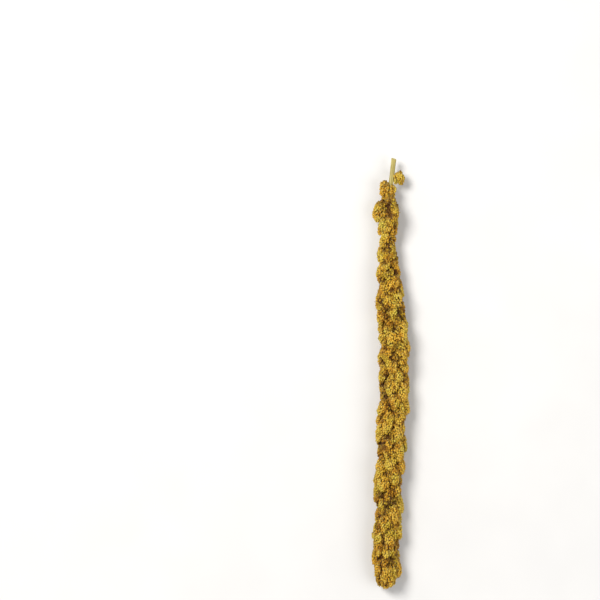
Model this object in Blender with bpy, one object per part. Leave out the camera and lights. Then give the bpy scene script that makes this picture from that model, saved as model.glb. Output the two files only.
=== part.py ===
"""A head of foxtail millet, dried and cut, lying on its side on the plane z = 0.

The head lies along Y, with its cut end at +Y and its tip at -Y, and +Z is up. A place on it is given by
s, the distance along the stalk from the cut end, and by an angle round the stalk, 0 being upwards.

The stalk runs from the cut end to near the tip. Near the cut end it bears seed clusters one by one, each
on a short branchlet. Further down the clusters close up into the dense head, which is one body. Grains
are raised all over: a peak for each grain, and a pit where three grains meet.
"""

import math
import random

import bmesh
import bpy
from mathutils import Matrix, Vector

MM = 0.001

# Driving dimensions
HEAD_LENGTH = 287 * MM  # cut end to tip
BARE_STUB = 15 * MM  # from the cut end to the first branchlet
DENSE_START = 47 * MM  # from the cut end to where the clusters close up
FULL_START = 106 * MM  # and to where the head is at its widest
FULL_RADIUS = 11.2 * MM
CUT_RADIUS = 1.6 * MM  # stalk at the cut end
END_RADIUS = 0.8 * MM  # stalk where it ends inside the tip
FIT_GAP = 0.3 * MM  # between the seeds and the stalk that carries them
SINK = 0.9 * MM  # how much the lowest grains of the dense head are pressed flat

# The lie of the stalk: (s, how far its middle lies to +X), in mm
LIE = (
    (0, 1.3),
    (14, -0.4),
    (27, -2.1),
    (45, -2.9),
    (68, -2.6),
    (90, -1.2),
    (110, 0.6),
    (135, 1.4),
    (165, 0.8),
    (200, -1.2),
    (250, -3.2),
    (287, -4.2),
)
STUB_HEIGHT = 9.4 * MM
STALK_END = HEAD_LENGTH - 12 * MM
STALK_POINTS = 24
ROUND_SIDES = 2  # steps in each quarter of a round tube

# Loose clusters: root, angle, lean, back, away, largest half length and half width.
# The first stands off from the stalk on the longest branchlet.
LOOSE = (
    (BARE_STUB, -94.0, 20.0, -1.9 * MM, 1.7 * MM, 4.3 * MM, 3.0 * MM),
    (17.5 * MM, 84.0, 6.0, 3.5 * MM, 0.0, 4.9 * MM, 3.0 * MM),
    (18.8 * MM, -28.0, 4.0, 3.0 * MM, 0.0, 4.3 * MM, 2.2 * MM),
    (22.0 * MM, 168.0, 8.0, 4.0 * MM, 0.0, 5.0 * MM, 3.5 * MM),
    (29.0 * MM, -140.0, 8.0, 5.0 * MM, 0.0, 6.6 * MM, 3.8 * MM),
    (30.5 * MM, 98.0, 8.0, 5.0 * MM, 0.0, 8.0 * MM, 4.3 * MM),
    (32.0 * MM, -24.0, 6.0, 5.0 * MM, 0.0, 10.2 * MM, 4.7 * MM),
    (39.0 * MM, 176.0, 8.0, 5.0 * MM, 0.0, 6.0 * MM, 4.0 * MM),
)
LOOSE_CLEARANCE = 0.5 * MM
GROWTH_START = 0.6
GROWTH_STEPS = 20
PROBE_COUNT = 80  # points on each egg that are tested against the others
EGG_TAPER = 0.14
NESTLE = 0.6  # an egg's side stands off the stalk's middle by this share of the stalk's radius
LEAN_OFF = 0.35  # and by this share of its half length, times the sine of its lean
BRANCHLET_RADIUS = 0.75 * MM
CLUSTER_PITCH = 3.0 * MM

# The dense head: (s, radius over the grains) and (s, depth of the furrows between its lobes), in mm
GIRTH = (
    (47, 6.4),
    (60, 7.0),
    (76, 8.7),
    (92, 10.6),
    (106, 11.2),
    (150, 11.2),
    (212, 10.7),
    (275, 10.2),
    (287, 10.2),
)
FURROWS = ((47, 2.9), (76, 3.7), (106, 4.2), (150, 4.2), (205, 2.2), (287, 2.2))
AROUND = 20  # grains round it
ALONG = 84  # grains along it, with both ends
START_CAP = 8 * MM
TIP_CAP = 15 * MM
LOBE_STEP = 1.85 * MM  # where the head is at its widest
LOBE_REACH = 8.2 * MM
LOBE_SIDE_REACH = 5.8 * MM
LOBE_FRONT = 0.75  # a lobe falls off this much sooner on its side towards the tip
GRAIN_RELIEF = 0.48  # depth of a pit, as a share of its distance from the peaks round it

GOLDEN_ANGLE = math.degrees(math.pi * (3 - math.sqrt(5)))
SIZE_SPREAD = 0.10
ANGLE_SPREAD = 8.0
GRAIN_JITTER = 0.2
SEED = 11

STALK_COLOUR = (0.52, 0.44, 0.17, 1)
GRAIN_COLOUR = (0.56, 0.37, 0.09, 1)


def mix(a, b, share):
    return a + (b - a) * share


def smooth_step(share):
    share = min(max(share, 0.0), 1.0)
    return share * share * (3 - 2 * share)


def spread(rng, amount):
    return rng.uniform(-amount, amount)


def along_curve(knots, s):
    """The value at s of a smooth curve through the knots, which are in mm."""
    place = min(max(s / MM, knots[0][0]), knots[-1][0])
    k = max(k for k in range(len(knots) - 1) if knots[k][0] <= place)
    (s1, v1), (s2, v2) = knots[k : k + 2]
    (s0, v0), (s3, v3) = knots[max(k - 1, 0)], knots[min(k + 2, len(knots) - 1)]
    slope1, slope2 = (v2 - v0) / (s2 - s0), (v3 - v1) / (s3 - s1)
    t, width = (place - s1) / (s2 - s1), s2 - s1
    return (mix(v1, v2, smooth_step(t)) + width * t * (1 - t) * (slope1 * (1 - t) - slope2 * t)) * MM


def rachis(s):
    """The middle of the stalk at distance s from its cut end."""
    resting = along_curve(GIRTH, max(s, FULL_START)) - SINK
    height = mix(STUB_HEIGHT, resting, smooth_step(s / FULL_START))
    return Vector((along_curve(LIE, s), HEAD_LENGTH / 2 - s, height))


def rachis_axes(s):
    """Unit vectors along the stalk towards the tip, to its side and up."""
    step = 1 * MM
    along = (rachis(s + step) - rachis(s - step)).normalized()
    side = along.cross(Vector((0, 0, 1))).normalized()
    return along, side, side.cross(along)


def outward(s, degrees):
    """The unit vector that leaves the stalk at this angle round it."""
    _, side, up = rachis_axes(s)
    angle = math.radians(degrees)
    return side * math.sin(angle) + up * math.cos(angle)


def stalk_radius(s):
    return mix(CUT_RADIUS, END_RADIUS, s / STALK_END)


class Cluster:
    """An egg of grains beside the stalk, on a branchlet that leaves the stalk at root."""

    def __init__(self, root, angle, lean, back, away, largest_length, largest_width):
        self.root, self.angle, self.lean, self.back, self.away = root, angle, lean, back, away
        self.largest_length, self.largest_width = largest_length, largest_width
        self.half_length = self.half_width = self.middle = self.turn = None

    def settle(self, share):
        """Gives the egg this share of its largest size, and puts it against the stalk."""
        self.half_length, self.half_width = self.largest_length * share, self.largest_width * share
        s, lean = self.root + self.back, math.radians(self.lean)
        out = outward(s, self.angle)
        off = self.half_width + stalk_radius(s) * NESTLE + self.away
        off += self.half_length * LEAN_OFF * math.sin(lean)
        self.middle = rachis(s) + out * off
        direction = rachis_axes(s)[0] * math.cos(lean) + out * math.sin(lean)
        self.turn = direction.to_track_quat("Z", "Y")

    def grains(self):
        mean_square = self.half_length * self.half_width
        return round(4 * math.pi * mean_square / (CLUSTER_PITCH**2 * math.sqrt(3) / 2))

    def surface(self, unit):
        """Where a point of the unit ball goes on the egg's skin."""
        wide = self.half_width * (1 - EGG_TAPER * unit.z)
        return self.middle + self.turn @ Vector((unit.x * wide, unit.y * wide, unit.z * self.half_length))

    def holds(self, point, margin):
        """True if the point lies inside the egg, or closer to it than margin."""
        local = self.turn.inverted() @ (point - self.middle)
        z = local.z / (self.half_length + margin)
        wide = self.half_width * (1 - EGG_TAPER * min(max(z, -1.0), 1.0)) + margin
        return (local.x / wide) ** 2 + (local.y / wide) ** 2 + z * z < 1

    def crowds(self, others, probes):
        """True if any of the others lies closer than the clearance."""
        for other in others:
            if other is self:
                continue
            if any(other.holds(self.surface(unit), LOOSE_CLEARANCE) for unit in probes):
                return True
            if any(self.holds(other.surface(unit), LOOSE_CLEARANCE) for unit in probes):
                return True
        return False


def loose_clusters():
    """The clusters that stand one by one, each grown until it meets another."""
    found = [Cluster(*values) for values in LOOSE]
    for cluster in found:
        cluster.settle(GROWTH_START)
    probes = ball_points(PROBE_COUNT)
    growing = found[:]
    for step in range(GROWTH_STEPS):
        for cluster in growing[:]:
            cluster.settle(mix(GROWTH_START, 1.0, (step + 1) / GROWTH_STEPS))
            if cluster.crowds(found, probes):
                cluster.settle(mix(GROWTH_START, 1.0, step / GROWTH_STEPS))
                growing.remove(cluster)
    return found


def ball_points(count, rng=None):
    """Unit vectors spread evenly over a ball along a golden spiral, jittered if rng is given."""
    points = []
    for k in range(count):
        z = 1 - (2 * k + 1) / count
        turn = math.radians(GOLDEN_ANGLE) * k
        flat = math.sqrt(1 - z * z)
        point = Vector((flat * math.cos(turn), flat * math.sin(turn), z))
        if rng:
            jitter = 3 * GRAIN_JITTER / math.sqrt(count)
            point += Vector([spread(rng, jitter) for _ in range(3)])
        points.append(point.normalized())
    return points


def dense_lobes(rng):
    """Where the lobes of the dense head stand: a list of (s, angle)."""
    found = []
    s = DENSE_START - LOBE_REACH / 2
    while s < HEAD_LENGTH:
        found.append((s, GOLDEN_ANGLE * len(found) + spread(rng, ANGLE_SPREAD)))
        s += LOBE_STEP * FULL_RADIUS / along_curve(GIRTH, s) * (1 + spread(rng, SIZE_SPREAD))
    return found


def lobe_height(lobes, s, degrees, radius):
    """0 in the furrows between the lobes, 1 on a lobe's crest."""
    best = 0.0
    for lobe_s, lobe_degrees in lobes:
        down = s - lobe_s
        if abs(down) > LOBE_REACH:
            continue
        turn = (degrees - lobe_degrees + 180) % 360 - 180
        across = math.radians(turn) * radius / LOBE_SIDE_REACH
        down /= LOBE_REACH * (LOBE_FRONT if down > 0 else 1.0)
        best = max(best, 1 - down * down - across * across)
    return math.sqrt(best)


def dense_profile(share):
    """Place s along the dense head and how full it is there, for a share of the way down its skin."""
    straight = HEAD_LENGTH - DENSE_START - START_CAP - TIP_CAP
    start_arc = math.pi / 4 * (START_CAP + along_curve(GIRTH, DENSE_START))
    tip_arc = math.pi / 4 * (TIP_CAP + along_curve(GIRTH, HEAD_LENGTH))
    way = share * (start_arc + straight + tip_arc)
    if way < start_arc:
        turn = way / start_arc * math.pi / 2
        return DENSE_START + START_CAP * (1 - math.cos(turn)), math.sin(turn)
    if way < start_arc + straight:
        return DENSE_START + START_CAP + way - start_arc, 1.0
    turn = (way - start_arc - straight) / tip_arc * math.pi / 2
    return HEAD_LENGTH - TIP_CAP * (1 - math.sin(turn)), math.cos(turn)


def dense_point(lobes, share, degrees):
    """A point on the grains of the dense head."""
    s, fullness = dense_profile(share)
    full = along_curve(GIRTH, s)
    radius = full - along_curve(FURROWS, s) * (1 - lobe_height(lobes, s, degrees, full))
    return rachis(s) + outward(s, degrees) * radius * fullness


def material(name, colour, roughness):
    made = bpy.data.materials.new(name)
    made.use_nodes = True
    shader = made.node_tree.nodes["Principled BSDF"]
    shader.inputs["Base Color"].default_value = colour
    shader.inputs["Roughness"].default_value = roughness
    shader.inputs["Metallic"].default_value = 0.0
    return made


def face_outwards(shape):
    shape.normal_update()
    bmesh.ops.recalc_face_normals(shape, faces=shape.faces[:])
    shape.normal_update()


def add_object(name, shape, collection, finish=None):
    """Turns a bmesh into an object."""
    face_outwards(shape)
    mesh = bpy.data.meshes.new(name)
    shape.to_mesh(mesh)
    shape.free()
    made = bpy.data.objects.new(name, mesh)
    collection.objects.link(made)
    if finish:
        mesh.materials.append(finish)
    return made


def raise_grains(shape):
    """Makes every vertex the peak of a grain, by sinking a pit into the middle of each triangle."""
    between = shape.edges[:]
    face_outwards(shape)
    bmesh.ops.poke(shape, faces=shape.faces[:], offset=-GRAIN_RELIEF, use_relative_offset=True)
    bmesh.ops.rotate_edges(shape, edges=between, use_ccw=False)


def seed_cluster(name, cluster, rng, collection, finish):
    shape = bmesh.new()
    for unit in ball_points(cluster.grains(), rng):
        shape.verts.new(unit)
    bmesh.ops.convex_hull(shape, input=shape.verts[:])
    for vertex in shape.verts:
        vertex.co = cluster.surface(vertex.co)
    raise_grains(shape)
    return add_object(name, shape, collection, finish)


def dense_head(rng, collection, finish):
    """The closed-up clusters as one body: a ball stretched along the stalk, every other ring turned."""
    lobes = dense_lobes(rng)
    shape = bmesh.new()
    bmesh.ops.create_uvsphere(shape, u_segments=AROUND, v_segments=ALONG, radius=1.0)
    for vertex in shape.verts:
        share = math.acos(min(max(vertex.co.z, -1.0), 1.0)) / math.pi
        ring = round(share * ALONG)
        degrees = math.degrees(math.atan2(vertex.co.x, vertex.co.y))
        if 0 < ring < ALONG:
            share += spread(rng, GRAIN_JITTER) / ALONG
            degrees += (ring % 2 / 2 + spread(rng, GRAIN_JITTER)) * 360 / AROUND
        vertex.co = dense_point(lobes, share, degrees)
    bmesh.ops.triangulate(shape, faces=shape.faces[:], quad_method="SHORT_EDGE")
    raise_grains(shape)
    return add_object("dense_head", shape, collection, finish)


def tube(name, points, radii, collection):
    """A closed tube along points, with a radius at each."""
    curve = bpy.data.curves.new(name, "CURVE")
    curve.dimensions = "3D"
    curve.bevel_depth = 1.0
    curve.bevel_resolution = ROUND_SIDES
    curve.use_fill_caps = True
    spline = curve.splines.new("POLY")
    spline.points.add(len(points) - 1)
    for knot, point, radius in zip(spline.points, points, radii):
        knot.co = (*point, 1)
        knot.radius = radius
    guide = bpy.data.objects.new(name, curve)
    collection.objects.link(guide)
    bpy.context.view_layer.update()
    evaluated = guide.evaluated_get(bpy.context.evaluated_depsgraph_get())
    mesh = bpy.data.meshes.new_from_object(evaluated)
    bpy.data.objects.remove(guide)
    bpy.data.curves.remove(curve)
    shape = bmesh.new()
    shape.from_mesh(mesh)
    bpy.data.meshes.remove(mesh)
    bmesh.ops.remove_doubles(shape, verts=shape.verts[:], dist=0.01 * MM)
    return add_object(name, shape, collection)


def combine(target, operation, other):
    """Applies one Boolean to target, with an object or a collection."""
    modifier = target.modifiers.new(operation.lower(), "BOOLEAN")
    modifier.operation = operation
    modifier.solver = "MANIFOLD"
    if isinstance(other, bpy.types.Collection):
        modifier.operand_type = "COLLECTION"
        modifier.collection = other
    else:
        modifier.object = other
    bpy.context.view_layer.update()
    evaluated = target.evaluated_get(bpy.context.evaluated_depsgraph_get())
    mesh = bpy.data.meshes.new_from_object(evaluated)
    target.modifiers.clear()
    old = target.data
    target.data = mesh
    bpy.data.meshes.remove(old)


def keep_largest_shell(target):
    """Drops loose scraps: only the shell with the most vertices stays."""
    shape = bmesh.new()
    shape.from_mesh(target.data)
    unseen, shells = set(shape.verts), []
    while unseen:
        shell, rim = set(), [unseen.pop()]
        while rim:
            vertex = rim.pop()
            shell.add(vertex)
            near = {edge.other_vert(vertex) for edge in vertex.link_edges} & unseen
            unseen -= near
            rim.extend(near)
        shells.append(shell)
    largest = max(shells, key=len)
    scraps = [vertex for vertex in shape.verts if vertex not in largest]
    bmesh.ops.delete(shape, geom=scraps, context="VERTS")
    shape.to_mesh(target.data)
    shape.free()


def stalk(name, loose, grown, collection, branchlets):
    """The rachis with a branchlet for each loose cluster, thicker by grown all round."""
    places = [STALK_END * k / (STALK_POINTS - 1) for k in range(STALK_POINTS)]
    points = [rachis(s) for s in places]
    points[0] -= rachis_axes(0)[0] * grown
    points[-1] += rachis_axes(STALK_END)[0] * grown
    made = tube(name, points, [stalk_radius(s) + grown for s in places], collection)
    thick = BRANCHLET_RADIUS + grown
    for k, cluster in enumerate(loose):
        foot = rachis(cluster.root)
        stop = cluster.middle + (cluster.middle - foot).normalized() * grown
        tube(f"branchlet_{k + 1:02d}", [foot, stop], [thick, thick], branchlets)
    combine(made, "UNION", branchlets)
    for item in branchlets.objects[:]:
        bpy.data.objects.remove(item)
    return made


def floor_block(collection):
    """The space below the surface that the head lies on."""
    size = 2 * HEAD_LENGTH
    shape = bmesh.new()
    bmesh.ops.create_cube(shape, size=size)
    bmesh.ops.translate(shape, vec=(0, 0, -size / 2), verts=shape.verts[:])
    return add_object("space_below", shape, collection)


def centre(bodies, movers):
    """Puts the middle of the bodies' box over the origin, and moves the movers along."""
    corners = [vertex.co for body in bodies for vertex in body.data.vertices]
    low = [min(corner[axis] for corner in corners) for axis in range(3)]
    high = [max(corner[axis] for corner in corners) for axis in range(3)]
    shift = Matrix.Translation((-(low[0] + high[0]) / 2, -(low[1] + high[1]) / 2, -low[2]))
    for mover in movers:
        mover.data.transform(shift)


def main():
    for item in bpy.data.objects[:]:
        bpy.data.objects.remove(item)
    names = ("foxtail_millet_head", "cutters", "branchlets")
    head, cutters, branchlets = (bpy.data.collections.new(name) for name in names)
    for collection in (head, cutters, branchlets):
        bpy.context.scene.collection.children.link(collection)

    straw = material("dried_straw", STALK_COLOUR, 0.75)
    husk = material("millet_husk", GRAIN_COLOUR, 0.6)
    rng = random.Random(SEED)
    loose = loose_clusters()

    stem = stalk("stalk", loose, 0.0, head, branchlets)
    stem.data.materials.clear()
    stem.data.materials.append(straw)
    room = stalk("room_for_stalk", loose, FIT_GAP, cutters, branchlets)
    below = floor_block(cutters)
    bodies = [dense_head(rng, head, husk)]
    for k, cluster in enumerate(loose):
        bodies.append(seed_cluster(f"seed_cluster_{k + 1:02d}", cluster, rng, head, husk))
    for body in bodies:
        combine(body, "DIFFERENCE", room)
        if min(vertex.co.z for vertex in body.data.vertices) < 0:
            combine(body, "DIFFERENCE", below)
        keep_largest_shell(body)

    centre(head.objects, [*head.objects, *cutters.objects])
    for item in cutters.objects:
        item.hide_render = True
        item.display_type = "WIRE"
    bpy.data.collections.remove(branchlets)


main()
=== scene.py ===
"""A dried head of foxtail millet with all its grains, dressed over the solids of its stalk and seed clusters.

The head lies along Y with its cut end at +Y. As in the solids, a place on it is given by s, the distance
along the stalk from the cut end, and by an angle round the stalk, 0 being upwards.
"""

import math
import random

import bpy
import numpy as np
from mathutils import Matrix, Vector, noise


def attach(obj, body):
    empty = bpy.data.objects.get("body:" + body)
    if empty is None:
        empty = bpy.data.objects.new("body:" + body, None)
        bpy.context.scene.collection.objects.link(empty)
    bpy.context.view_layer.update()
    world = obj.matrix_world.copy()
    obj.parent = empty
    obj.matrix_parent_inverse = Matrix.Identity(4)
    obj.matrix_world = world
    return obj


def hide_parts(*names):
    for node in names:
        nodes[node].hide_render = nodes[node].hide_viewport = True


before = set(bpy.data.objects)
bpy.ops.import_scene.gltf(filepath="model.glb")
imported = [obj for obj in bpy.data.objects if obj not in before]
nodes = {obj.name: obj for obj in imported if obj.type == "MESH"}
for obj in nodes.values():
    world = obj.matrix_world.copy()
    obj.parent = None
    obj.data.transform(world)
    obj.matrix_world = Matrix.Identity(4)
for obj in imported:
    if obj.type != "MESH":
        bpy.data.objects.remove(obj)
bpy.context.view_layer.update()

MM = 0.001

# The head's form, as the solids have it; the pairs are (s, value) in mm
HEAD_LENGTH = 287 * MM
DENSE_START = 47 * MM
FULL_START = 106 * MM
FULL_RADIUS = 11.2 * MM
CUT_RADIUS = 1.6 * MM
END_RADIUS = 0.8 * MM
SINK = 0.9 * MM
LIE = (
    (0, 1.3),
    (14, -0.4),
    (27, -2.1),
    (45, -2.9),
    (68, -2.6),
    (90, -1.2),
    (110, 0.6),
    (135, 1.4),
    (165, 0.8),
    (200, -1.2),
    (250, -3.2),
    (287, -4.2),
)
GIRTH = (
    (47, 6.4),
    (60, 7.0),
    (76, 8.7),
    (92, 10.6),
    (106, 11.2),
    (150, 11.2),
    (212, 10.7),
    (275, 10.2),
    (287, 10.2),
)
STUB_HEIGHT = 9.4 * MM
STALK_END = HEAD_LENGTH - 12 * MM
START_CAP = 8 * MM
TIP_CAP = 15 * MM
LOBE_REACH = 8.2 * MM
LOBE_STEP = 1.85 * MM
LOBE_STEP_SPREAD = 0.10
LOBE_ANGLE_SPREAD = 8.0
LOBE_SEED = 11
BRANCHLET_FEET = (15, 17.5, 18.8, 22, 29, 30.5, 32, 39)  # s in mm for each loose cluster
BRANCHLET_RADIUS = 0.6 * MM
GOLDEN_ANGLE = math.degrees(math.pi * (3 - math.sqrt(5)))

# Grains, the empty husks between them, and bristles. A lean is how much each one points away from its
# cluster's skin, along its cluster and at random
GRAIN_LENGTH = 2.4 * MM
GRAIN_WIDTH = 1.65 * MM
GRAIN_LEAN = (0.5, 0.85, 0.2)
GRAIN_APART = 1.15 * MM  # least distance between the tips of two grains
GRAIN_TRIES = 14  # places tried in each square of that side
GRAIN_SINK = 0.45 * MM  # a grain this far under another cluster's skin is left out
CHAFF_LENGTH = 1.7 * MM
CHAFF_WIDTH = 0.85 * MM
CHAFF_LEAN = (0.6, 0.5, 0.45)
CHAFF_DEPTH = 0.9 * MM  # from the tips of the grains down to the points of the empty husks between them
CHAFF_SPREAD = 0.45 * MM
CHAFF_PER_GRAIN = 1.3
BRISTLE_LENGTH = 3.9 * MM
BRISTLE_RADIUS = 0.075 * MM
BRISTLE_LEAN = (1, 0.45, 0.2)  # the first of these is along its grain
BRISTLE_SPREAD = 0.4 * MM
BRISTLE_SHARE = 0.55
FLOOR_GAP = 0.2 * MM  # bristles with points lower than this are left out
GRAIN_SEED = 20

# Bunches of grains, drawn out along their lobe and twisted round it
STREAK_HEIGHT = 1.2 * MM
STREAK_WIDTH = 2.9 * MM
STREAK_STRETCH = 2.3
STREAK_TWIST = 60  # radians to the metre

# Tones, from 0 for the brownest grain to 1 for the palest, and what makes a grain browner: random lobe tones,
# painted shade on deep grains, in hollows and at lobe feet, and painted light and shade on the streaks
GRAIN_TONE = 0.57
GRAIN_TONE_SPREAD = 0.13
# Painted light and shade: grains high on a bunch are lighter, those low between bunches browner
STREAK_LIGHT_AND_SHADE = 0.45
LOBE_TONE = 0.13  # how much lighter or browner a lobe may be than the rest
LOBE_TONE_SEED = 5
SHADE_DEPTH = 3.4 * MM  # painted shade: grains this far under the head's outer form are browned all through
SHADE_DROP = 0.4
SHADE_BEND = 1.5  # painted shade: the browning sets in slowly and then faster
HOLLOW_SHADE = 1.3  # painted shade: a hollow browns its grains more than its depth alone
FOOT_SHADE = 0.18  # painted shade, as if each lobe's foot lay in the shadow of the lobe before: the grains at a lobe's foot are this much browner than those at its end
FOOT_START = 0.1  # where that begins, as a share of the lobe's half length past its middle

# Lobes and their flesh
LOBE_HALF_LENGTH = 9.2 * MM
LOBE_HALF_WIDTH = 4.7 * MM
LOBE_LEAN = 23.0
LOBE_SIZES = (0.88, 1.12)
FILLER_SIZE = 0.7  # every third lobe is a small one that sits deep between its neighbours
FILLER_SINK = 1.5 * MM
FILLERS_START = 80 * MM
TIP_LOBE = (9.5 * MM, 4.6 * MM)  # half length and half width
TIP_SETBACK = 0.4 * MM  # how far the last lobes stay behind the end of the solids
EGG_TAPER = 0.14
CORE_DEPTH = 1.35 * MM  # from the tips of the grains down to the branch flesh they stand on
CORE_LEAST = 0.4 * MM
FLESH_GRID = 1.0 * MM
HIDDEN_RADIUS = 4.5 * MM  # nothing this near to the stalk shows where the head is dense
STALK_CLEARANCE = 0.5 * MM
DENSE_PIECES = 5

# Hairs on the stem
HAIR_LENGTH = 1.1 * MM
HAIR_RADIUS = 0.045 * MM
HAIR_COUNT = 420
HAIRY_PART = (16, 60)  # s in mm

# Hollows between the lobes, darkened by painted shade as well as by their depth: s, angle, width and depth,
# in mm
HOLLOW_FLOOR = 2.6 * MM  # no hollow comes nearer than this to the middle of the stalk
HOLLOWS = (
    (29, 60, 2.4, 2.6),
    (29.3, -50, 2.8, 2.8),
    (34, 8, 3.6, 4.6),
    (37.5, -3, 3.2, 3.6),
    (44.7, -30, 2.2, 2.4),
    (57.5, 20, 2.0, 2.4),
    (69.5, 25, 2.2, 2.4),
    (77, -40, 2.2, 3.4),
    (101, 20, 2.6, 4.0),
    (113, 35, 2.4, 3.0),
    (127, -10, 3.4, 5.6),
    (135, 4, 2.0, 2.8),
    (155, 65, 2.6, 3.0),
    (182, 8, 2.2, 3.0),
    (200, 5, 2.6, 2.6),
    (225, -8, 2.2, 1.8),
    (258, 30, 2.4, 2.4),
)

# Painted light and shade: how much lighter or browner each loose cluster is than the rest, as it lies lit or
# in shadow
CLUSTER_LIGHT_AND_SHADE = (0.08, 0.08, 0.12, -0.12, -0.16, -0.04, -0.2, -0.08)

# Small tufts that sit on the stalk between the loose clusters: s, angle, off, half length, half width, in mm
TUFTS = (
    (13.9, -92, 3.1, 2.9, 2.1),
    (21.5, 30, 2.6, 3.0, 1.7),
    (25.5, -60, 2.6, 3.2, 2.0),
    (27.0, 30, 2.7, 3.4, 2.1),
    (27.5, 105, 2.8, 3.0, 2.0),
    (30.0, -100, 3.0, 3.6, 2.2),
    (31.5, 50, 3.0, 3.8, 2.2),
    (37.0, 38, 3.0, 4.2, 2.3),
    (37.5, -88, 3.6, 4.0, 2.6),
    (39.0, 150, 3.4, 4.0, 2.4),
    (43.5, 50, 3.6, 4.4, 2.6),
    (43.5, -100, 4.0, 4.4, 2.8),
    (46.5, 5, 4.2, 3.6, 2.6),
    (47.0, 105, 4.0, 4.0, 2.6),
    (48.0, -55, 4.4, 3.8, 2.8),
    (49.0, -140, 4.0, 4.0, 2.8),
)

# Lobes of the dense head that fill the gaps in its spiral, with the same values
GAP_LOBES = (
    (152.0, 14, 6.3, 8.5, 4.2),
    (181.5, -30, 6.2, 7.0, 4.0),
    (191.0, 24, 6.1, 7.0, 4.0),
    (259.0, 0, 5.3, 8.0, 4.0),
    (275.5, 0, 4.8, 7.8, 3.8),
)


def mix(a, b, share):
    return a + (b - a) * share


def smooth_step(share):
    share = min(max(share, 0.0), 1.0)
    return share * share * (3 - 2 * share)


def along_curve(knots, s):
    """The value at s of a smooth curve through the knots, which are in mm."""
    place = min(max(s / MM, knots[0][0]), knots[-1][0])
    k = max(k for k in range(len(knots) - 1) if knots[k][0] <= place)
    (s1, v1), (s2, v2) = knots[k : k + 2]
    (s0, v0), (s3, v3) = knots[max(k - 1, 0)], knots[min(k + 2, len(knots) - 1)]
    slope1, slope2 = (v2 - v0) / (s2 - s0), (v3 - v1) / (s3 - s1)
    t, width = (place - s1) / (s2 - s1), s2 - s1
    return (mix(v1, v2, smooth_step(t)) + width * t * (1 - t) * (slope1 * (1 - t) - slope2 * t)) * MM


def fullness(s):
    """How far the dense head has rounded off at s: 1 along its middle, 0 at its two ends."""
    from_start = min(max((s - DENSE_START) / START_CAP, 0.0), 1.0)
    from_tip = min(max((HEAD_LENGTH - s) / TIP_CAP, 0.0), 1.0)
    return math.sqrt(1 - (1 - min(from_start, from_tip)) ** 2)


def unshifted_rachis(s):
    resting = along_curve(GIRTH, max(s, FULL_START)) - SINK
    height = mix(STUB_HEIGHT, resting, smooth_step(s / FULL_START))
    return Vector((along_curve(LIE, s), HEAD_LENGTH / 2 - s, height))


def cut_end_shift():
    """How far the solids were moved to stand over the origin, read off the stalk's cut end."""
    ends = [vertex.co for vertex in nodes["stalk"].data.vertices]
    last = max(end.y for end in ends)
    rim = [end for end in ends if end.y > last - 0.5 * MM]
    shift = sum(rim, Vector()) / len(rim) - unshifted_rachis(0)
    return Vector((shift.x, shift.y, 0))


SHIFT = cut_end_shift()


def rachis(s):
    """The middle of the stalk at distance s from its cut end."""
    return unshifted_rachis(s) + SHIFT


def rachis_axes(s):
    """Unit vectors along the stalk towards the tip, to its side and up."""
    along = (rachis(s + MM) - rachis(s - MM)).normalized()
    side = along.cross(Vector((0, 0, 1))).normalized()
    return along, side, side.cross(along)


def outward(s, degrees):
    """The unit vector that leaves the stalk at this angle round it."""
    _, side, up = rachis_axes(s)
    angle = math.radians(degrees)
    return side * math.sin(angle) + up * math.cos(angle)


def stalk_radius(s):
    return mix(CUT_RADIUS, END_RADIUS, s / STALK_END)


STALK_LINE_S = np.linspace(-10 * MM, HEAD_LENGTH + 10 * MM, 620)
STALK_LINE = np.array([rachis(s) for s in STALK_LINE_S])
OUTER_LINE = np.array([along_curve(GIRTH, s) * fullness(s) if s > DENSE_START else 0 for s in STALK_LINE_S])


def from_stalk(points):
    """For each point, its s and the step across from the stalk's middle to it."""
    s = HEAD_LENGTH / 2 + SHIFT.y - points[:, 1]
    x, z = (np.interp(s, STALK_LINE_S, STALK_LINE[:, k]) for k in (0, 2))
    return s, np.stack([points[:, 0] - x, np.zeros(len(s)), points[:, 2] - z], 1)


def sunk_in(points):
    """The points, sunk into the hollows towards the stalk, and how far each one sank."""
    s, across = from_stalk(points)
    radius = np.linalg.norm(across, axis=1)
    angle = np.arctan2(-across[:, 0], across[:, 2])
    sunk = np.zeros(len(points))
    for place, degrees, width, depth in HOLLOWS:
        aside = (np.remainder(angle - math.radians(degrees) + math.pi, 2 * math.pi) - math.pi) * radius
        near = ((s / MM - place) ** 2 + (aside / MM) ** 2) / width**2
        sunk = np.maximum(sunk, depth * MM * np.exp(-near))
    sunk = np.minimum(sunk, np.maximum(radius - HOLLOW_FLOOR, 0))
    return points - across / radius[:, None] * sunk[:, None], sunk


# Outer forms of clusters and lobes


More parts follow.
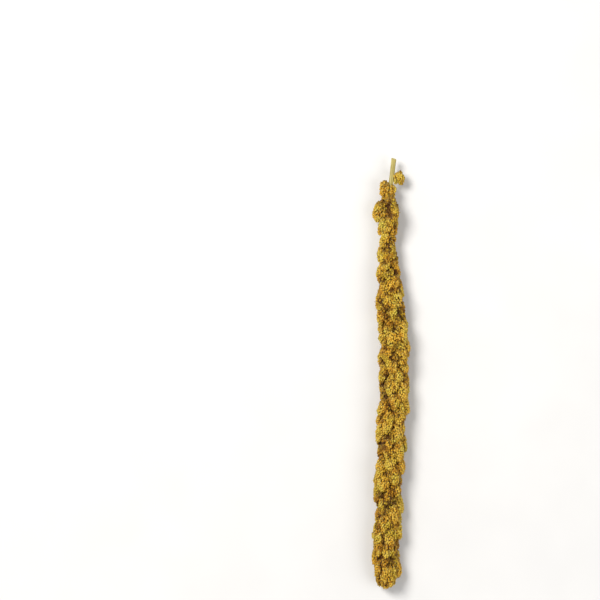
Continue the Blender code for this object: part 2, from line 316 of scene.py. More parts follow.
class Egg:
    """The outer form of a cluster or a lobe: its middle, its three axes as rows, and its half sizes."""

    def __init__(self, middle, direction, half_length, half_width):
        z = np.array(direction)
        x = np.cross(z, (0.3, 0.2, 0.9))
        x /= np.linalg.norm(x)
        self.axes = np.array([x, np.cross(z, x), z])
        self.middle = np.array(middle)
        self.half_length, self.half_width = half_length, half_width

    def skin(self, units):
        """Points on the egg's skin for unit vectors, and their normals."""
        wide = self.half_width * (1 - EGG_TAPER * units[:, 2:])
        local = np.concatenate([units[:, :2] * wide, units[:, 2:] * self.half_length], 1)
        normals = np.concatenate([units[:, :2] / wide, units[:, 2:] / self.half_length], 1)
        normals /= np.linalg.norm(normals, axis=1, keepdims=True)
        return local @ self.axes + self.middle, normals @ self.axes

    def holds(self, points, depth):
        """True for each point that is deeper than this under the egg's skin."""
        local = (points - self.middle) @ self.axes.T
        z = local[:, 2] / (self.half_length - depth)
        wide = (self.half_width - depth) * (1 - EGG_TAPER * np.clip(z, -1, 1))
        return (local[:, 0] / wide) ** 2 + (local[:, 1] / wide) ** 2 + z * z < 1

    def streaks(self, points, seed):
        """How high each point stands on the bunches of grains, from about -0.5 to 0.5, and how far along."""
        local = (points - self.middle) @ self.axes.T
        turn = local[:, 2] * STREAK_TWIST
        x = local[:, 0] * np.cos(turn) - local[:, 1] * np.sin(turn)
        y = local[:, 0] * np.sin(turn) + local[:, 1] * np.cos(turn)
        spots = np.stack([x, y, local[:, 2] / STREAK_STRETCH], 1) / STREAK_WIDTH + 7.3 * seed
        return np.array([noise.noise(Vector(spot)) for spot in spots]), local[:, 2] / self.half_length

    def area(self):
        return 4 * math.pi * self.half_length * self.half_width

    def core(self):
        """Matrix rows that stretch a ball of radius 1 to the flesh under the grains."""
        size = np.array([self.half_width, self.half_width, self.half_length]) - CORE_DEPTH
        return self.axes * np.maximum(size, CORE_LEAST)[:, None]


def measured_egg(node):
    """The egg that a seed cluster's solid is made to."""
    points = np.array([vertex.co for vertex in node.data.vertices])
    axes = np.linalg.svd(points - points.mean(0), full_matrices=False)[2]
    direction = axes[0] * -np.sign(axes[0][1])
    egg = Egg(points.mean(0), direction, 1, 1)
    local = (points - egg.middle) @ egg.axes.T
    low, high = local.min(0), local.max(0)
    egg.middle = egg.middle + (low + high) / 2 @ egg.axes
    half = (high - low) / 2
    egg.half_length, egg.half_width = half[2], (half[0] + half[1]) / 2
    return egg


def tuft_egg(s, degrees, off, half_length, half_width):
    out = outward(s * MM, degrees)
    direction = (rachis_axes(s * MM)[0] + out * 0.15).normalized()
    return Egg(rachis(s * MM) + out * off * MM, direction, half_length * MM, half_width * MM)


def dense_lobes():
    """The lobes of the dense head, on the same spiral as in the solids."""
    rng, sizes_rng = random.Random(LOBE_SEED), random.Random(LOBE_SEED)
    eggs = []
    s, k = DENSE_START - LOBE_REACH / 2, 0
    while s < HEAD_LENGTH - 6 * MM:
        angle = GOLDEN_ANGLE * k + rng.uniform(-LOBE_ANGLE_SPREAD, LOBE_ANGLE_SPREAD)
        girth = along_curve(GIRTH, s)
        full = girth * fullness(max(s, DENSE_START + 4 * MM))
        filler = k % 3 == 2 and s > FILLERS_START
        size = FILLER_SIZE if filler else sizes_rng.uniform(*LOBE_SIZES)
        near_end = min(1.0, 0.5 + 0.5 * full / girth)
        slim = min(1.0, 0.4 + 0.6 * girth / FULL_RADIUS)
        half_length = LOBE_HALF_LENGTH * size * near_end * mix(slim, 1.0, 0.5)
        half_width = LOBE_HALF_WIDTH * size**0.7 * near_end * slim
        lean = math.radians(LOBE_LEAN) * smooth_step((HEAD_LENGTH - s) / (1.6 * TIP_CAP))
        reach = math.hypot(half_length * math.sin(lean), half_width * math.cos(lean))
        reach += FILLER_SINK * filler
        out, off = outward(s, angle), max(full - reach, 0.4 * MM)
        end = s + math.hypot(half_length * math.cos(lean), half_width * math.sin(lean))
        room = HEAD_LENGTH - TIP_CAP * (1 - math.sqrt(1 - min(off / girth, 1) ** 2))
        over = max(end - room, 0)
        middle = rachis(s - over - TIP_SETBACK * (over > 0)) + out * off
        direction = rachis_axes(s)[0] * math.cos(lean) + out * math.sin(lean)
        eggs.append(Egg(middle, direction, half_length, half_width))
        step = LOBE_STEP * (1 + rng.uniform(-LOBE_STEP_SPREAD, LOBE_STEP_SPREAD))
        s += step * FULL_RADIUS / girth
        k += 1
    last = HEAD_LENGTH - TIP_LOBE[0]
    eggs.append(Egg(rachis(last), rachis_axes(last)[0], *TIP_LOBE))
    return eggs


# Modelling by hand


def deselect_all():
    bpy.ops.object.select_all(action="DESELECT")


def done_editing():
    if bpy.context.mode != "OBJECT":
        bpy.ops.object.mode_set(mode="OBJECT")


def pick(piece, kind, wanted):
    """Goes into edit mode with just those points, edges or faces of the piece selected that are wanted."""
    done_editing()
    bpy.ops.object.mode_set(mode="EDIT")
    bpy.ops.mesh.select_mode(type=kind)
    bpy.ops.mesh.select_all(action="DESELECT")
    bpy.ops.object.mode_set(mode="OBJECT")
    mesh = piece.data
    for part in {"VERT": mesh.vertices, "EDGE": mesh.edges, "FACE": mesh.polygons}[kind]:
        part.select = wanted(part)
    bpy.ops.object.mode_set(mode="EDIT")


def model_scale(wide, thick, waist, bend):
    """A papery scale with its foot at z = 0, its point at z = 1 bent to one side, and widest at its waist."""
    deselect_all()
    middle = (1 + waist) / 2
    above = 1 - waist
    bpy.ops.mesh.primitive_cone_add(vertices=5, radius1=0.5, radius2=0, depth=above, location=(0, 0, middle))
    scale = bpy.context.object
    bpy.ops.object.transform_apply()
    pick(scale, "FACE", lambda face: face.loop_total == 5)
    bpy.ops.mesh.extrude_region_move(TRANSFORM_OT_translate={"value": (0, 0, -waist)})
    bpy.ops.mesh.merge(type="CENTER")
    pick(scale, "VERT", lambda point: 0.5 * waist < point.co.z < 0.5 + 0.5 * waist)
    bpy.ops.transform.resize(value=(2 * wide, 2 * thick, 1), center_override=(0, 0, waist))
    pick(scale, "VERT", lambda point: point.co.z > 0.5 + 0.5 * waist)
    bpy.ops.transform.translate(value=(0, bend, 0))
    done_editing()
    return scale


def model_bract(turn, wide, high):
    """A scale that cups a grain from its foot up, on the side that turn gives in radians."""
    bract = model_scale(wide, 0.14, 0.36, 0.03)
    bract.scale = (1, 1, high)
    bract.location = (0.42 * math.sin(turn), 0.42 * math.cos(turn), 0)
    bract.rotation_euler = (0, 0, -turn)
    bpy.ops.object.transform_apply()
    return bract


def model_grain():
    """A grain in its husk, foot at the origin and tip at z = 1: a plump seed and the two bracts round it."""
    deselect_all()
    bpy.ops.mesh.primitive_uv_sphere_add(segments=7, ring_count=5, radius=0.5, location=(0, 0, 0.5))
    grain = bpy.context.object
    bpy.ops.object.transform_apply()
    pick(grain, "VERT", lambda point: point.co.z > 0.6)
    bpy.ops.transform.resize(value=(0.9, 0.9, 1), center_override=(0, 0, 0.5))
    pick(grain, "VERT", lambda point: point.co.z > 0.98)
    bpy.ops.transform.translate(value=(0, 0.02, 0.03))
    pick(grain, "VERT", lambda point: point.co.y < -0.2)
    bpy.ops.transform.resize(value=(1, 0.84, 1), center_override=(0, 0, 0.5))
    pick(grain, "VERT", lambda point: point.co.z < 0.3)
    bpy.ops.transform.resize(value=(0.9, 0.9, 1), center_override=(0, 0, 0.5))
    done_editing()
    return grain, [model_bract(0.4, 0.31, 0.8), model_bract(2.9, 0.27, 0.62)]


def model_bristle():
    """One bristle, foot at the origin and point at z = 1, bent over a little towards its point."""
    deselect_all()
    bpy.ops.mesh.primitive_cone_add(vertices=3, radius1=1, radius2=0.55, depth=0.6, location=(0, 0, 0.3))
    bristle = bpy.context.object
    bpy.ops.object.transform_apply()
    pick(bristle, "FACE", lambda face: face.center.z > 0.55)
    bpy.ops.mesh.extrude_region_move(TRANSFORM_OT_translate={"value": (2.2, 0, 0.4)})
    bpy.ops.mesh.merge(type="CENTER")
    done_editing()
    return bristle


def model_core():
    """The branch flesh inside a cluster, as a ball of radius 1."""
    deselect_all()
    bpy.ops.mesh.primitive_ico_sphere_add(subdivisions=2, radius=1, location=(0, 0, 0))
    return bpy.context.object


def wrapped_round(mesh):
    """For each corner of each face, its place in a unit square wrapped round the shape like a sheet."""
    points = np.array([tuple(vertex.co) for vertex in mesh.vertices])
    heights = (points[:, 2] - points[:, 2].min()) / np.ptp(points[:, 2])
    flat = ((points - points.mean(0)) / np.ptp(points, axis=0))[:, :2]
    places = []
    for face in mesh.polygons:
        x, y = flat[list(face.vertices)].mean(0)
        facing = math.atan2(y, x)
        for k in face.vertices:
            turn = math.remainder(math.atan2(flat[k, 1], flat[k, 0]) - facing, 2 * math.pi)
            if np.isclose(heights, heights[k]).sum() == 1:  # a pole
                turn = 0
            places.append((0.5 + 0.4 * (facing + turn) / math.pi, heights[k]))  # room at the seam
    return np.array(places)


class Kind:
    """A modelled shape, read once so that it can be copied many times over."""

    def __init__(self, parts):
        """parts is a list of (object, paper): paper is 1 for bracts and bristles, and 0 for seed."""
        points, corners, sizes, places, paper = [], [], [], [], []
        start, face_count = 0, sum(len(part.data.polygons) for part, _ in parts)
        for part, is_paper in parts:
            mesh = part.data
            share = len(mesh.polygons) / face_count
            corners += [loop.vertex_index + len(points) for loop in mesh.loops]
            points += [tuple(vertex.co) for vertex in mesh.vertices]
            sizes += [polygon.loop_total for polygon in mesh.polygons]
            places.append(wrapped_round(mesh) * (share, 1) + (start, 0))
            start += share
            paper += [is_paper] * len(mesh.vertices)
            bpy.data.objects.remove(part)
        self.points, self.corners, self.sizes = np.array(points), np.array(corners), np.array(sizes)
        self.places, self.paper = np.concatenate(places), np.array(paper, float)
        self.places = (self.places - self.places.min(0)) / np.ptp(self.places, axis=0)


class Copies:
    """Many copies of one kind: a 3 by 3 matrix that turns and sizes each, its foot and its tone.

    Copies of flesh sink into the hollows point by point, and are painted dark brown all over, as the shade
    between the grains.
    """

    def __init__(self, kind, turns, feet, tones, is_flesh=False):
        self.kind, self.turns, self.feet, self.tones, self.is_flesh = kind, turns, feet, tones, is_flesh

    def points(self):
        """The points of every copy; a copy that would reach below the floor is lifted onto it."""
        found = np.einsum("pk,nkj->npj", self.kind.points, self.turns) + self.feet[:, None]
        if self.is_flesh:
            found = sunk_in(found.reshape(-1, 3))[0].reshape(found.shape)
        found[:, :, 2] += np.maximum(0, -found[:, :, 2].min(1))[:, None]
        return found


def make_piece(name, batches, finish):
    """One mesh from many copies, with a square of its UV map for each."""
    side = math.ceil(math.sqrt(sum(len(batch.feet) for batch in batches)))
    points, corners, sizes, places = [], [], [], []
    values = {"tone": [], "rise": [], "paper": []}
    cells = count = 0
    for batch in batches:
        kind, copies = batch.kind, len(batch.feet)
        points.append(batch.points().reshape(-1, 3))
        corners.append((kind.corners[None] + len(kind.points) * np.arange(copies)[:, None] + count).ravel())
        sizes.append(np.tile(kind.sizes, copies))
        cell = cells + np.arange(copies)
        low = np.stack([cell % side, cell // side], 1)
        places.append(((low[:, None] + 0.06 + 0.88 * kind.places[None]) / side).reshape(-1, 2))
        values["tone"].append(np.repeat(batch.tones, len(kind.points)))
        values["paper"].append(np.tile(kind.paper, copies))
        values["rise"].append(np.tile(kind.points[:, 2], copies) * (not batch.is_flesh))
        cells += copies
        count += copies * len(kind.points)
    points, corners = np.concatenate(points), np.concatenate(corners)
    sizes, places = np.concatenate(sizes), np.concatenate(places)
    mesh = bpy.data.meshes.new(name)
    mesh.vertices.add(len(points))
    mesh.vertices.foreach_set("co", points.ravel())
    mesh.loops.add(len(corners))
    mesh.loops.foreach_set("vertex_index", corners)
    mesh.polygons.add(len(sizes))
    mesh.polygons.foreach_set("loop_start", np.concatenate([[0], np.cumsum(sizes)[:-1]]))
    mesh.polygons.foreach_set("loop_total", sizes)
    mesh.update(calc_edges=True)
    mesh.uv_layers.new(name="OFBake").data.foreach_set("uv", places.ravel())
    for value, lists in values.items():
        mesh.attributes.new(value, "FLOAT", "POINT").data.foreach_set("value", np.concatenate(lists))
    mesh.materials.append(finish)
    mesh.validate()
    piece = bpy.data.objects.new(name, mesh)
    bpy.context.collection.objects.link(piece)
    return piece


# Where the grains stand

# The columns of a grain's place: its tip, its cluster's normal and axis there, whose it is, and how much
# painted shade browns it (painted light on a streak's ridge counts against it)
TIP, NORMAL, AXIS, OWNER, PAINTED_SHADE = slice(0, 3), slice(3, 6), slice(6, 9), 9, 10


def random_units(count, rng):
    """Unit vectors all over a ball, at random."""
    z = rng.uniform(-1, 1, count)
    turn = rng.uniform(0, 2 * math.pi, count)
    flat = np.sqrt(1 - z * z)
    return np.stack([flat * np.cos(turn), flat * np.sin(turn), z], 1)


def spaced_out(tries):
    """The rows whose tips lie at least GRAIN_APART from those of every row kept before them."""
    taken, chosen = {}, []
    around = [(i, j, k) for i in (-1, 0, 1) for j in (-1, 0, 1) for k in (-1, 0, 1)]
    cells = np.floor(tries[:, TIP] / GRAIN_APART).astype(int)
    for number, ((x, y, z), (a, b, c)) in enumerate(zip(tries[:, TIP].tolist(), cells.tolist())):
        near = (place for i, j, k in around for place in taken.get((a + i, b + j, c + k), ()))
        if all((u - x) ** 2 + (v - y) ** 2 + (w - z) ** 2 >= GRAIN_APART**2 for u, v, w in near):
            taken.setdefault((a, b, c), []).append((x, y, z))
            chosen.append(number)
    return tries[chosen]


def grain_places(eggs, rng):
    """The places of grains all over the eggs' skins."""
    tries = []
    for k, egg in enumerate(eggs):
        points, normals = egg.skin(random_units(int(GRAIN_TRIES * egg.area() / GRAIN_APART**2), rng))
        s, across = from_stalk(points)
        radius = np.linalg.norm(across, axis=1)
        seen = radius > stalk_radius(s) + STALK_CLEARANCE
        seen &= ~((radius < HIDDEN_RADIUS) & (s > FULL_START) & (s < STALK_END))
        for m, other in enumerate(eggs):
            if m != k and np.linalg.norm(other.middle - egg.middle) < egg.half_length + other.half_length:
                seen &= ~other.holds(points, GRAIN_SINK)
        points, normals = points[seen], normals[seen]
        streaks, along = egg.streaks(points, k)
        points, sunk = sunk_in(points + normals * STREAK_HEIGHT * streaks[:, None])
        axis = np.tile(egg.axes[2], (len(points), 1))
        # Painted shade: grains deep under the head's outer form, in a hollow or at a lobe's foot are browned.
        # Painted light and shade: grains high on a streak are lighter, low ones browner.
        depth = np.maximum(np.interp(s[seen], STALK_LINE_S, OUTER_LINE) - radius[seen], 0)
        depth += HOLLOW_SHADE * sunk
        brown = SHADE_DROP * np.minimum(depth / SHADE_DEPTH, 1) ** SHADE_BEND - STREAK_LIGHT_AND_SHADE * streaks
        brown += FOOT_SHADE * np.clip(-along - FOOT_START, 0, 1)
        owner = np.full(len(points), k)
        tries.append(np.column_stack([points, normals, axis, owner, brown]))
    tries = np.concatenate(tries)
    rng.shuffle(tries)
    return spaced_out(tries)


def unit_rows(rows):
    return rows / np.linalg.norm(rows, axis=1, keepdims=True)


def turns_towards(directions, widths, depths, lengths, rng):
    """Matrices that stand a shape up along each direction, turned at random about it, and size it."""
    z = unit_rows(directions)
    x = unit_rows(np.cross(z, rng.normal(size=z.shape)))
    y = np.cross(z, x)
    return np.stack([x * widths[:, None], y * depths[:, None], z * lengths[:, None]], 1)


def leaning(normals, axes, lean, rng):
    """Unit vectors that point along the normals, along the axes and at random, by the lean's three shares."""
    out, along, stray = lean
    return unit_rows(normals * out + axes * along + rng.normal(0, stray, normals.shape))


def grains_chaff_and_bristles(places, shade, rng):
    """Copies of the grain with its tip at each place, of the empty husks between them, and of bristles."""
    tips, normals, axes = places[:, TIP], places[:, NORMAL], places[:, AXIS]
    count = len(tips)
    directions = leaning(normals, axes, GRAIN_LEAN, rng)
    sizes = rng.uniform(0.9, 1.1, count)
    lengths = GRAIN_LENGTH * sizes * rng.uniform(0.94, 1.06, count)
    widths = GRAIN_WIDTH * sizes
    feet = tips - directions * (lengths + rng.uniform(-0.2, 0.2, count) * MM)[:, None]
    tones = np.clip(rng.normal(GRAIN_TONE, GRAIN_TONE_SPREAD, count) + shade - places[:, PAINTED_SHADE], 0, 1)
    grains = Copies(grain, turns_towards(directions, widths, widths * 0.95, lengths, rng), feet, tones)

    chosen = rng.integers(0, count, int(count * CHAFF_PER_GRAIN))
    lying = leaning(normals[chosen], axes[chosen], CHAFF_LEAN, rng)
    longs = CHAFF_LENGTH * rng.uniform(0.8, 1.2, len(chosen))
    broad = CHAFF_WIDTH * rng.uniform(0.8, 1.2, len(chosen))
    points = tips[chosen] - normals[chosen] * CHAFF_DEPTH + rng.normal(0, CHAFF_SPREAD, (len(chosen), 3))
    turns = turns_towards(lying, broad, broad, longs, rng)
    husks = Copies(chaff, turns, points - lying * longs[:, None], tones[chosen])

    bristly = rng.uniform(size=count) < BRISTLE_SHARE
    stiff = leaning(directions[bristly], axes[bristly], BRISTLE_LEAN, rng)
    long = BRISTLE_LENGTH * rng.uniform(0.65, 1.2, bristly.sum())
    beside = feet[bristly] + rng.normal(0, BRISTLE_SPREAD, (bristly.sum(), 3))
    clear = (beside + stiff * long[:, None])[:, 2] > FLOOR_GAP
    thin = np.full(clear.sum(), BRISTLE_RADIUS)
    turns = turns_towards(stiff[clear], thin, thin, long[clear], rng)
    return [grains, husks, Copies(bristle, turns, beside[clear], tones[bristly][clear])]


# Materials


def linear(colour):
    """A Blender colour from an sRGB hex value such as #C8A040."""
    channels = [int(colour[k : k + 2], 16) / 255 for k in (1, 3, 5)]
    return (*[c / 12.92 if c <= 0.04045 else ((c + 0.055) / 1.055) ** 2.4 for c in channels], 1)


def add(tree, kind, settings=None, **links):
    """Adds a node with its settings and links. _0 is the first input, and a link is an output or a value."""
    node = tree.nodes.new(kind)
    for name, value in (settings or {}).items():
        setattr(node, name, value)
    for name, value in links.items():
        socket = node.inputs[int(name[1:]) if name[0] == "_" else name.replace("_", " ")]
        if isinstance(value, bpy.types.NodeSocket):
            tree.links.new(value, socket)
        else:
            socket.default_value = value
    return node


def ramp(tree, factor, stops):
    """A colour ramp from (place, colour) stops."""
    node = add(tree, "ShaderNodeValToRGB", Fac=factor)
    elements = node.color_ramp.elements
    while len(elements) < len(stops):
        elements.new(0.5)
    for element, (place, colour) in zip(elements, stops):
        element.position = place
        element.color = linear(colour)
    return node.outputs["Color"]


def new_finish(name, roughness, gloss=0.5):
    made = bpy.data.materials.new(name)
    made.use_nodes = True
    shader = made.node_tree.nodes["Principled BSDF"]
    shader.inputs["Roughness"].default_value = roughness
    shader.inputs["Specular IOR Level"].default_value = gloss
    return made, made.node_tree, shader


def blend_colours(tree, factor, first, second):
    node = add(tree, "ShaderNodeMix", {"data_type": "RGBA"}, _0=factor, _6=first, _7=second)
    return node.outputs[2]


def value_of(tree, name):
    return add(tree, "ShaderNodeAttribute", {"attribute_name": name}).outputs["Fac"]


def blotches(tree, place, size, detail=2.0):
    """Noise with blotches of this real size."""
    node = add(tree, "ShaderNodeTexNoise", Vector=place, Scale=1 / size, Detail=detail, Roughness=0.55)
    return node.outputs["Fac"]


def husk_finish():
    """Millet in the husk, sun dried: hard, smooth, faintly glossy, from straw to amber, with painted shade
    browning each grain towards its foot.
    """
    made, tree, shader = new_finish("millet_husk_sun_dried", 0.58, 0.22)
    place = add(tree, "ShaderNodeTexCoord").outputs["Object"]
    tone, rise, paper = (value_of(tree, name) for name in ("tone", "rise", "paper"))
    blotch = blotches(tree, place, 16 * MM)
    shift = add(tree, "ShaderNodeMath", {"operation": "MULTIPLY_ADD"}, _0=blotch, _1=0.8, _2=-0.4)
    picked = add(tree, "ShaderNodeMath", {"operation": "ADD"}, _0=tone, _1=shift.outputs[0])
    amber = ramp(
        tree,
        picked.outputs[0],
        [(0, "#432200"), (0.28, "#9E6B0E"), (0.5, "#C08F1F"), (0.72, "#D5AC3C"), (0.95, "#BE9C38")],
    )
    olive = ramp(
        tree,
        picked.outputs[0],
        [(0, "#4F3403"), (0.28, "#A3821B"), (0.5, "#BB9E2A"), (0.72, "#CDB548"), (0.95, "#AEA23A")],
    )
    ripeness = ramp(tree, blotches(tree, place, 9 * MM), [(0.42, "#000000"), (0.63, "#FFFFFF")])
    seed = blend_colours(tree, ripeness, amber, olive)
    # Painted shade: each grain darkens to dark brown towards its foot, where it stands in the shade between
    # the grains; flesh copies, with no rise, take this brown all over
    foot = ramp(tree, rise, [(0.0, "#000000"), (0.3, "#404040"), (0.62, "#FFFFFF")])
    seed = blend_colours(tree, foot, linear("#5C3603"), seed)
    wisp = blotches(tree, place, 1.2 * MM)
    husk = ramp(tree, wisp, [(0.3, "#967C2E"), (0.7, "#C8B262")])
    # Painted shade and random tone: papery scales, chaff and bristles darken to brown where the tone is low,
    # as in shaded hollows and crevices
    tone_and_shade_darkening = ramp(tree, tone, [(0.05, "#FFFFFF"), (0.45, "#000000")])
    husk = blend_colours(tree, tone_and_shade_darkening, husk, linear("#573A0A"))
    colour = blend_colours(tree, paper, seed, husk)
    tree.links.new(colour, shader.inputs["Base Color"])
    fine = blotches(tree, place, 0.35 * MM)
    bump = add(tree, "ShaderNodeBump", Height=fine, Strength=0.25, Distance=0.06 * MM)
    tree.links.new(bump.outputs[0], shader.inputs["Normal"])
    return made


def flesh_finish_painted_shade():
    """Branch tissue deep between the grains: dry, fibrous, matt, painted dark brown as the shade between the
    grains.
    """
    made, tree, shader = new_finish("branch_fibre_painted_shade", 0.9, 0.2)
    place = add(tree, "ShaderNodeTexCoord").outputs["Object"]
    fibre = blotches(tree, place, 0.9 * MM, 3.0)
    # Painted shade: the dark brown stands for the shade between the grains
    tree.links.new(ramp(tree, fibre, [(0.3, "#351B02"), (0.7, "#5C380A")]), shader.inputs["Base Color"])
    bump = add(tree, "ShaderNodeBump", Height=fibre, Strength=0.8, Distance=0.5 * MM)
    tree.links.new(bump.outputs[0], shader.inputs["Normal"])
    return made


def straw_finish():
    """Dry grass stem: olive straw, ribbed along its length, with brown flecks, and pale pith at the cut."""
    made, tree, shader = new_finish("dry_straw", 0.62)
    place = add(tree, "ShaderNodeTexCoord").outputs["Object"]
    drawn_out = add(tree, "ShaderNodeMapping", Vector=place, Scale=(1, 0.05, 1)).outputs[0]
    fibre = blotches(tree, drawn_out, 0.45 * MM, 3.0)
    colour = ramp(tree, fibre, [(0.3, "#85773A"), (0.5, "#A7984F"), (0.72, "#C2B570")])
    fleck = ramp(tree, blotches(tree, place, 5 * MM, 4.0), [(0.5, "#000000"), (0.78, "#999999")])
    colour = blend_colours(tree, fleck, colour, linear("#80642C"))
    pith = ramp(tree, blotches(tree, place, 0.3 * MM), [(0.3, "#C9BC8C"), (0.7, "#E6DDB8")])
    colour = blend_colours(tree, value_of(tree, "pith"), colour, pith)
    tree.links.new(colour, shader.inputs["Base Color"])
    bump = add(tree, "ShaderNodeBump", Height=fibre, Strength=0.5, Distance=0.12 * MM)
    tree.links.new(bump.outputs[0], shader.inputs["Normal"])
    return made


def floor_finish():
    """Matt white board."""
    made, tree, shader = new_finish("matt_board", 0.85)
    place = add(tree, "ShaderNodeTexCoord").outputs["Object"]
    colour = ramp(tree, blotches(tree, place, 60 * MM), [(0.3, "#D7D6D5"), (0.7, "#DBDAD9")])
    tree.links.new(colour, shader.inputs["Base Color"])
    return made


# The stalk with its branchlets and hairs


def model_rod(name, sides, cuts):
    """A round rod of radius 1 from z = 0 to z = 1, with this many rings between its ends."""
    deselect_all()
    bpy.ops.mesh.primitive_cylinder_add(vertices=sides, radius=1, depth=1, location=(0, 0, 0.5))
    rod = bpy.context.object
    rod.name = rod.data.name = name
    bpy.ops.object.transform_apply()
    heights = [vertex.co.z for vertex in rod.data.vertices]
    pick(rod, "EDGE", lambda edge: abs(heights[edge.vertices[0]] - heights[edge.vertices[1]]) > 0.5)
    bpy.ops.mesh.subdivide(number_cuts=cuts)
    done_editing()
    return rod


def main_stem():
    """The stem itself, ribbed, with a flared cut end whose pith has shrunk back."""
    stem = model_rod("cut_stem", 30, 150)
    for vertex in stem.data.vertices:
        s = vertex.co.z * STALK_END
        angle = math.atan2(vertex.co.x, vertex.co.y)
        rib = 1 + 0.06 * math.cos(10 * angle + 9 * s / HEAD_LENGTH)
        flare = 1 + 0.04 * math.exp(-s / (1.2 * MM))
        worn = 1 + 0.06 * noise.noise(Vector((math.cos(angle), math.sin(angle), s / (7 * MM))))
        slant = 0.7 * MM * math.cos(angle + 0.6) * math.exp(-s / (1.5 * MM))
        vertex.co = rachis(s + slant) + outward(s, math.degrees(angle)) * stalk_radius(s) * rib * flare * worn
    cut_end = rachis(0)
    pick(stem, "FACE", lambda face: face.loop_total > 4 and (face.center - cut_end).length < 2 * MM)
    bpy.ops.mesh.inset(thickness=0.42 * MM, depth=0)
    bpy.ops.mesh.inset(thickness=0.12 * MM, depth=-0.3 * MM)
    bpy.ops.mesh.inset(thickness=0.45 * MM, depth=0.1 * MM)
    done_editing()
    return stem


def branchlet(number, egg):
    """The short branch from the stalk to the middle of a loose cluster."""
    rod = model_rod(f"branchlet_{number + 1}", 10, 7)
    foot = rachis(BRANCHLET_FEET[number] * MM)
    middle = Vector(egg.middle)
    way = middle - foot
    side = way.cross(Vector((0, 0, 1))).normalized()
    up = side.cross(way.normalized())
    for vertex in rod.data.vertices:
        share = vertex.co.z
        bow = up * 0.5 * MM * math.sin(math.pi * share)
        collar = 1 + 0.9 * math.exp(-share * way.length / (0.9 * MM))
        rib = 1 + 0.08 * math.cos(5 * math.atan2(vertex.co.x, vertex.co.y))
        radius = BRANCHLET_RADIUS * mix(1.0, 0.7, share) * collar * rib
        vertex.co = foot + way * share + bow + (side * vertex.co.x + up * vertex.co.y) * radius
    return rod


def stem_hairs(rng):
    """Fine pale hairs on the stem between the clusters."""
    s = rng.uniform(*HAIRY_PART, HAIR_COUNT) * MM
    degrees = rng.uniform(-180, 180, HAIR_COUNT)
    out = np.array([outward(*place) for place in zip(s, degrees)])
    feet = np.array([rachis(value) for value in s]) + out * (stalk_radius(s) * 0.9)[:, None]
    directions = out + np.array([0, -0.5, 0]) + rng.normal(0, 0.3, out.shape)
    thin = np.full(HAIR_COUNT, HAIR_RADIUS)
    long = HAIR_LENGTH * rng.uniform(0.6, 1.3, HAIR_COUNT)
    turns = turns_towards(directions, thin, thin, long, rng)
    return make_piece("stem_hairs", [Copies(bristle, turns, feet, np.full(HAIR_COUNT, 0.6))], husk)


def stalk_piece(eggs):
    """The stem and its branchlets as one piece."""
    stem = main_stem()
    rods = [branchlet(number, egg) for number, egg in enumerate(eggs)]
    deselect_all()
    for rod in (*rods, stem):
        rod.select_set(True)
    bpy.context.view_layer.objects.active = stem
    bpy.ops.object.join()
    bpy.ops.object.shade_smooth_by_angle(angle=math.radians(50))
    pith = stem.data.attributes.new("pith", "FLOAT", "POINT")
    cut_end = rachis(0)
    for vertex, value in zip(stem.data.vertices, pith.data):
        away = vertex.co - cut_end
        value.value = float(away.length < 0.95 * MM)
    stem.data.materials.clear()
    stem.data.materials.append(straw)
    return stem


# The pieces


def nearest(egg, others):
    """The number of the one among the others whose middle is nearest to the egg's."""
    return int(np.argmin([np.linalg.norm(egg.middle - other.middle) for other in others]))


def finish_piece(piece, slot, *replaced):
    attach(piece, "root")
    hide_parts(*replaced)


def dense_flesh(eggs):
    """The pressed branches under the grains of the dense head, as one skin."""
    balls = []
    for egg in eggs:
        ball = model_core()
        turn = Matrix(egg.core().T.tolist()).to_4x4()
        ball.data.transform(Matrix.Translation(egg.middle.tolist()) @ turn)
        balls.append(ball)
    for ball in balls:
        ball.select_set(True)
    bpy.ops.object.join()
    made = bpy.context.object
    made.name = made.data.name = "dense_branches"
    skin = made.modifiers.new("skin", "REMESH")
    skin.mode = "VOXEL"
    skin.voxel_size = FLESH_GRID
    bpy.ops.object.modifier_apply(modifier="skin")
    skin_points = np.array([vertex.co for vertex in made.data.vertices])
    made.data.vertices.foreach_set("co", sunk_in(skin_points)[0].ravel())
    made.data.materials.clear()
    made.data.materials.append(flesh)
    bpy.ops.object.shade_smooth()
    return made


husk, flesh, straw = husk_finish(), flesh_finish_painted_shade(), straw_finish()
grain_shape, bract_shapes = model_grain()
grain = Kind([(grain_shape, 0.0)] + [(bract, 1.0) for bract in bract_shapes])
bristle = Kind([(model_bristle(), 1.0)])
chaff = Kind([(model_scale(0.5, 0.2, 0.4, 0.2), 0.7)])
core = Kind([(model_core(), 0.0)])
rng = np.random.default_rng(GRAIN_SEED)

cluster_names = sorted(name for name in nodes if name.startswith("seed_cluster"))
cluster_eggs = [measured_egg(nodes[name]) for name in cluster_names]
tuft_eggs = [tuft_egg(*values) for values in TUFTS]
lobe_eggs = dense_lobes() + [tuft_egg(*values) for values in GAP_LOBES]
eggs = cluster_eggs + tuft_eggs + lobe_eggs

finish_piece(stalk_piece(cluster_eggs), "stalk", "stalk")
finish_piece(stem_hairs(rng), "stalk", "stalk")

places = grain_places(eggs, rng)
owners = places[:, OWNER].astype(int)
tuft_hosts = [nearest(tuft, cluster_eggs) for tuft in tuft_eggs]
for number, name in enumerate(cluster_names):
    mine = [number] + [len(cluster_eggs) + k for k, host in enumerate(tuft_hosts) if host == number]
    batches = grains_chaff_and_bristles(places[np.isin(owners, mine)], CLUSTER_LIGHT_AND_SHADE[number], rng)
    cores = np.array([eggs[k].core() for k in mine])
    middles = np.array([eggs[k].middle for k in mine])
    # The cores take the painted dark brown shade of the grains' feet all over
    batches.append(Copies(core, cores, middles, np.zeros(len(mine)), is_flesh=True))
    finish_piece(make_piece(name + "_seeds", batches, husk), "grains", name)

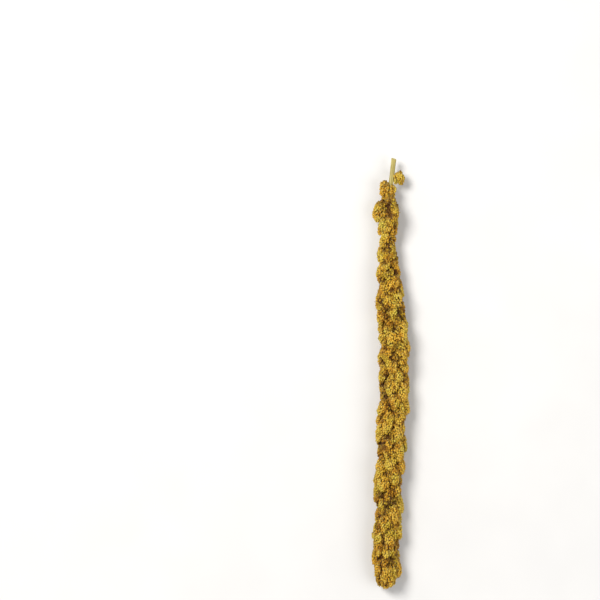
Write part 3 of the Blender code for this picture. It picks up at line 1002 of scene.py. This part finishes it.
in_dense = owners >= len(cluster_eggs) + len(tuft_eggs)
towards_tip = -np.array([egg.middle[1] for egg in eggs])[owners]
shades = np.random.default_rng(LOBE_TONE_SEED).uniform(-LOBE_TONE, LOBE_TONE, len(eggs))
bands = np.quantile(towards_tip[in_dense], np.linspace(0, 1, DENSE_PIECES + 1))
bands[-1] += MM
for number in range(DENSE_PIECES):
    here = in_dense & (towards_tip >= bands[number]) & (towards_tip < bands[number + 1])
    batches = grains_chaff_and_bristles(places[here], shades[owners[here]], rng)
    finish_piece(make_piece(f"dense_seeds_{number + 1}", batches, husk), "grains", "dense_head")
finish_piece(dense_flesh(lobe_eggs), "grains", "dense_head")

# Floor, light and camera

bpy.ops.mesh.primitive_plane_add(size=6, location=(0, 0, 0))
floor = bpy.context.object
floor.name = "floor"
floor.data.materials.append(floor_finish())

PX_PER_MM = 1.5
LIE_COLUMN = 392  # the pixel column where LIE is 0
CUT_ROW = 159  # the pixel row of the cut end
IMAGE_MIDDLE = 300
CAMERA_HEIGHT = 1.5
HEAD_HEIGHT = 0.01  # where the picture's scale is true
camera = bpy.data.objects.new("camera", bpy.data.cameras.new("camera"))
bpy.context.scene.collection.objects.link(camera)
bpy.context.scene.camera = camera
camera.data.sensor_width = 36
frame_side = 2 * IMAGE_MIDDLE / PX_PER_MM * MM
camera.data.lens = camera.data.sensor_width * (CAMERA_HEIGHT - HEAD_HEIGHT) / frame_side
camera.location = (
    SHIFT.x - (LIE_COLUMN - IMAGE_MIDDLE) / PX_PER_MM * MM,
    SHIFT.y + HEAD_LENGTH / 2 - (IMAGE_MIDDLE - CUT_ROW) / PX_PER_MM * MM,
    CAMERA_HEIGHT,
)
camera.rotation_euler = (0, 0, 0)


def area_light(name, place, aim, size, power, colour):
    light = bpy.data.lights.new(name, "AREA")
    light.shape = "DISK"
    light.size = size
    light.energy = power
    light.color = linear(colour)[:3]
    lamp = bpy.data.objects.new(name, light)
    bpy.context.scene.collection.objects.link(lamp)
    lamp.location = place
    lamp.rotation_euler = (Vector(place) - Vector(aim)).to_track_quat("Z", "Y").to_euler()


area_light("key", (-0.7, 0.6, 1.3), (0, 0, 0), 0.7, 26, "#FFFDF9")
area_light("fill", (0.9, -0.3, 1.2), (0, 0, 0), 1.2, 9, "#FCFCFC")
world = bpy.data.worlds.new("studio")
bpy.context.scene.world = world
world.use_nodes = True
world.node_tree.nodes["Background"].inputs["Color"].default_value = linear("#FAFAFA")
world.node_tree.nodes["Background"].inputs["Strength"].default_value = 0.45
bpy.context.scene.view_settings.view_transform = "Standard"
